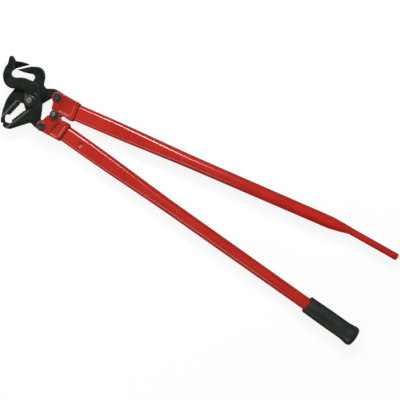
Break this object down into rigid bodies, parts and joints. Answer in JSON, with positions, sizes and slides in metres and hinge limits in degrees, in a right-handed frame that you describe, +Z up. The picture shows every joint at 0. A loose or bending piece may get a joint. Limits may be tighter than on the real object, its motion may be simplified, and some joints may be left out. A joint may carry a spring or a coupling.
{
  "type": "bolt cutters",
  "caption": "Long-handled compound-lever cutters with hook beaks, a serrated gripping jaw, red tube handles, a round drift end and a dark grip.",
  "frame": {"origin": "centre of the bottom face of the main pivot bolt's head, on the main pivot axis; the cutters lie flat and this face is what they rest on", "axes": "+X from the main pivot towards the handle ends, +Y towards the upper handle (the one with the drift), +Z up, along the pivot axes"},
  "size_m": [0.9111, 0.2178, 0.0499],
  "materials": {
    "jaws": "satin black forging",
    "fasteners": "blackened steel, worn",
    "brackets": "red gloss enamel",
    "tubes": "red gloss enamel",
    "drift": "red gloss enamel",
    "grip": "matte moulded rubber"
  },
  "bodies": {
    "upper_handle": {"upper_bracket": "brackets", "upper_tube": "tubes", "drift_rod": "drift", "upper_link_bolt": "fasteners", "upper_link_nut": "fasteners", "upper_link_washer_front": "fasteners", "upper_link_washer_rear": "fasteners", "centre_bolt": "fasteners", "centre_nut": "fasteners", "centre_washer_front": "fasteners", "centre_washer_rear": "fasteners"},
    "lower_handle": {"lower_bracket": "brackets", "lower_tube": "tubes", "grip": "grip", "lower_link_bolt": "fasteners", "lower_link_nut": "fasteners", "lower_link_washer_front": "fasteners", "lower_link_washer_rear": "fasteners"},
    "front_jaw_body": {"front_jaw": "jaws", "pivot_bolt": "fasteners", "pivot_nut": "fasteners", "pivot_washer_front": "fasteners", "pivot_washer_rear": "fasteners"},
    "rear_jaw_body": {"rear_jaw": "jaws"}
  },
  "joints": [
    {"name": "handle_spread", "type": "hinge", "parent": "upper_handle", "child": "lower_handle", "pos_m": [0.058, 0, 0.024], "axis": [0, 0, -1], "range_deg": [0, 62]},
    {"name": "front_jaw_turn", "type": "hinge", "parent": "lower_handle", "child": "front_jaw_body", "pos_m": [0.046, -0.0345, 0.024], "axis": [0, 0, 1], "range_deg": [0, 43.2]},
    {"name": "rear_jaw_turn", "type": "hinge", "parent": "front_jaw_body", "child": "rear_jaw_body", "pos_m": [0, 0, 0.024], "axis": [0, 0, -1], "range_deg": [0, 24.4]}
  ],
  "couplings": [
    {"joint": "front_jaw_turn", "follows": "handle_spread", "ratio": 0.696},
    {"joint": "rear_jaw_turn", "follows": "handle_spread", "ratio": 0.392}
  ]
}
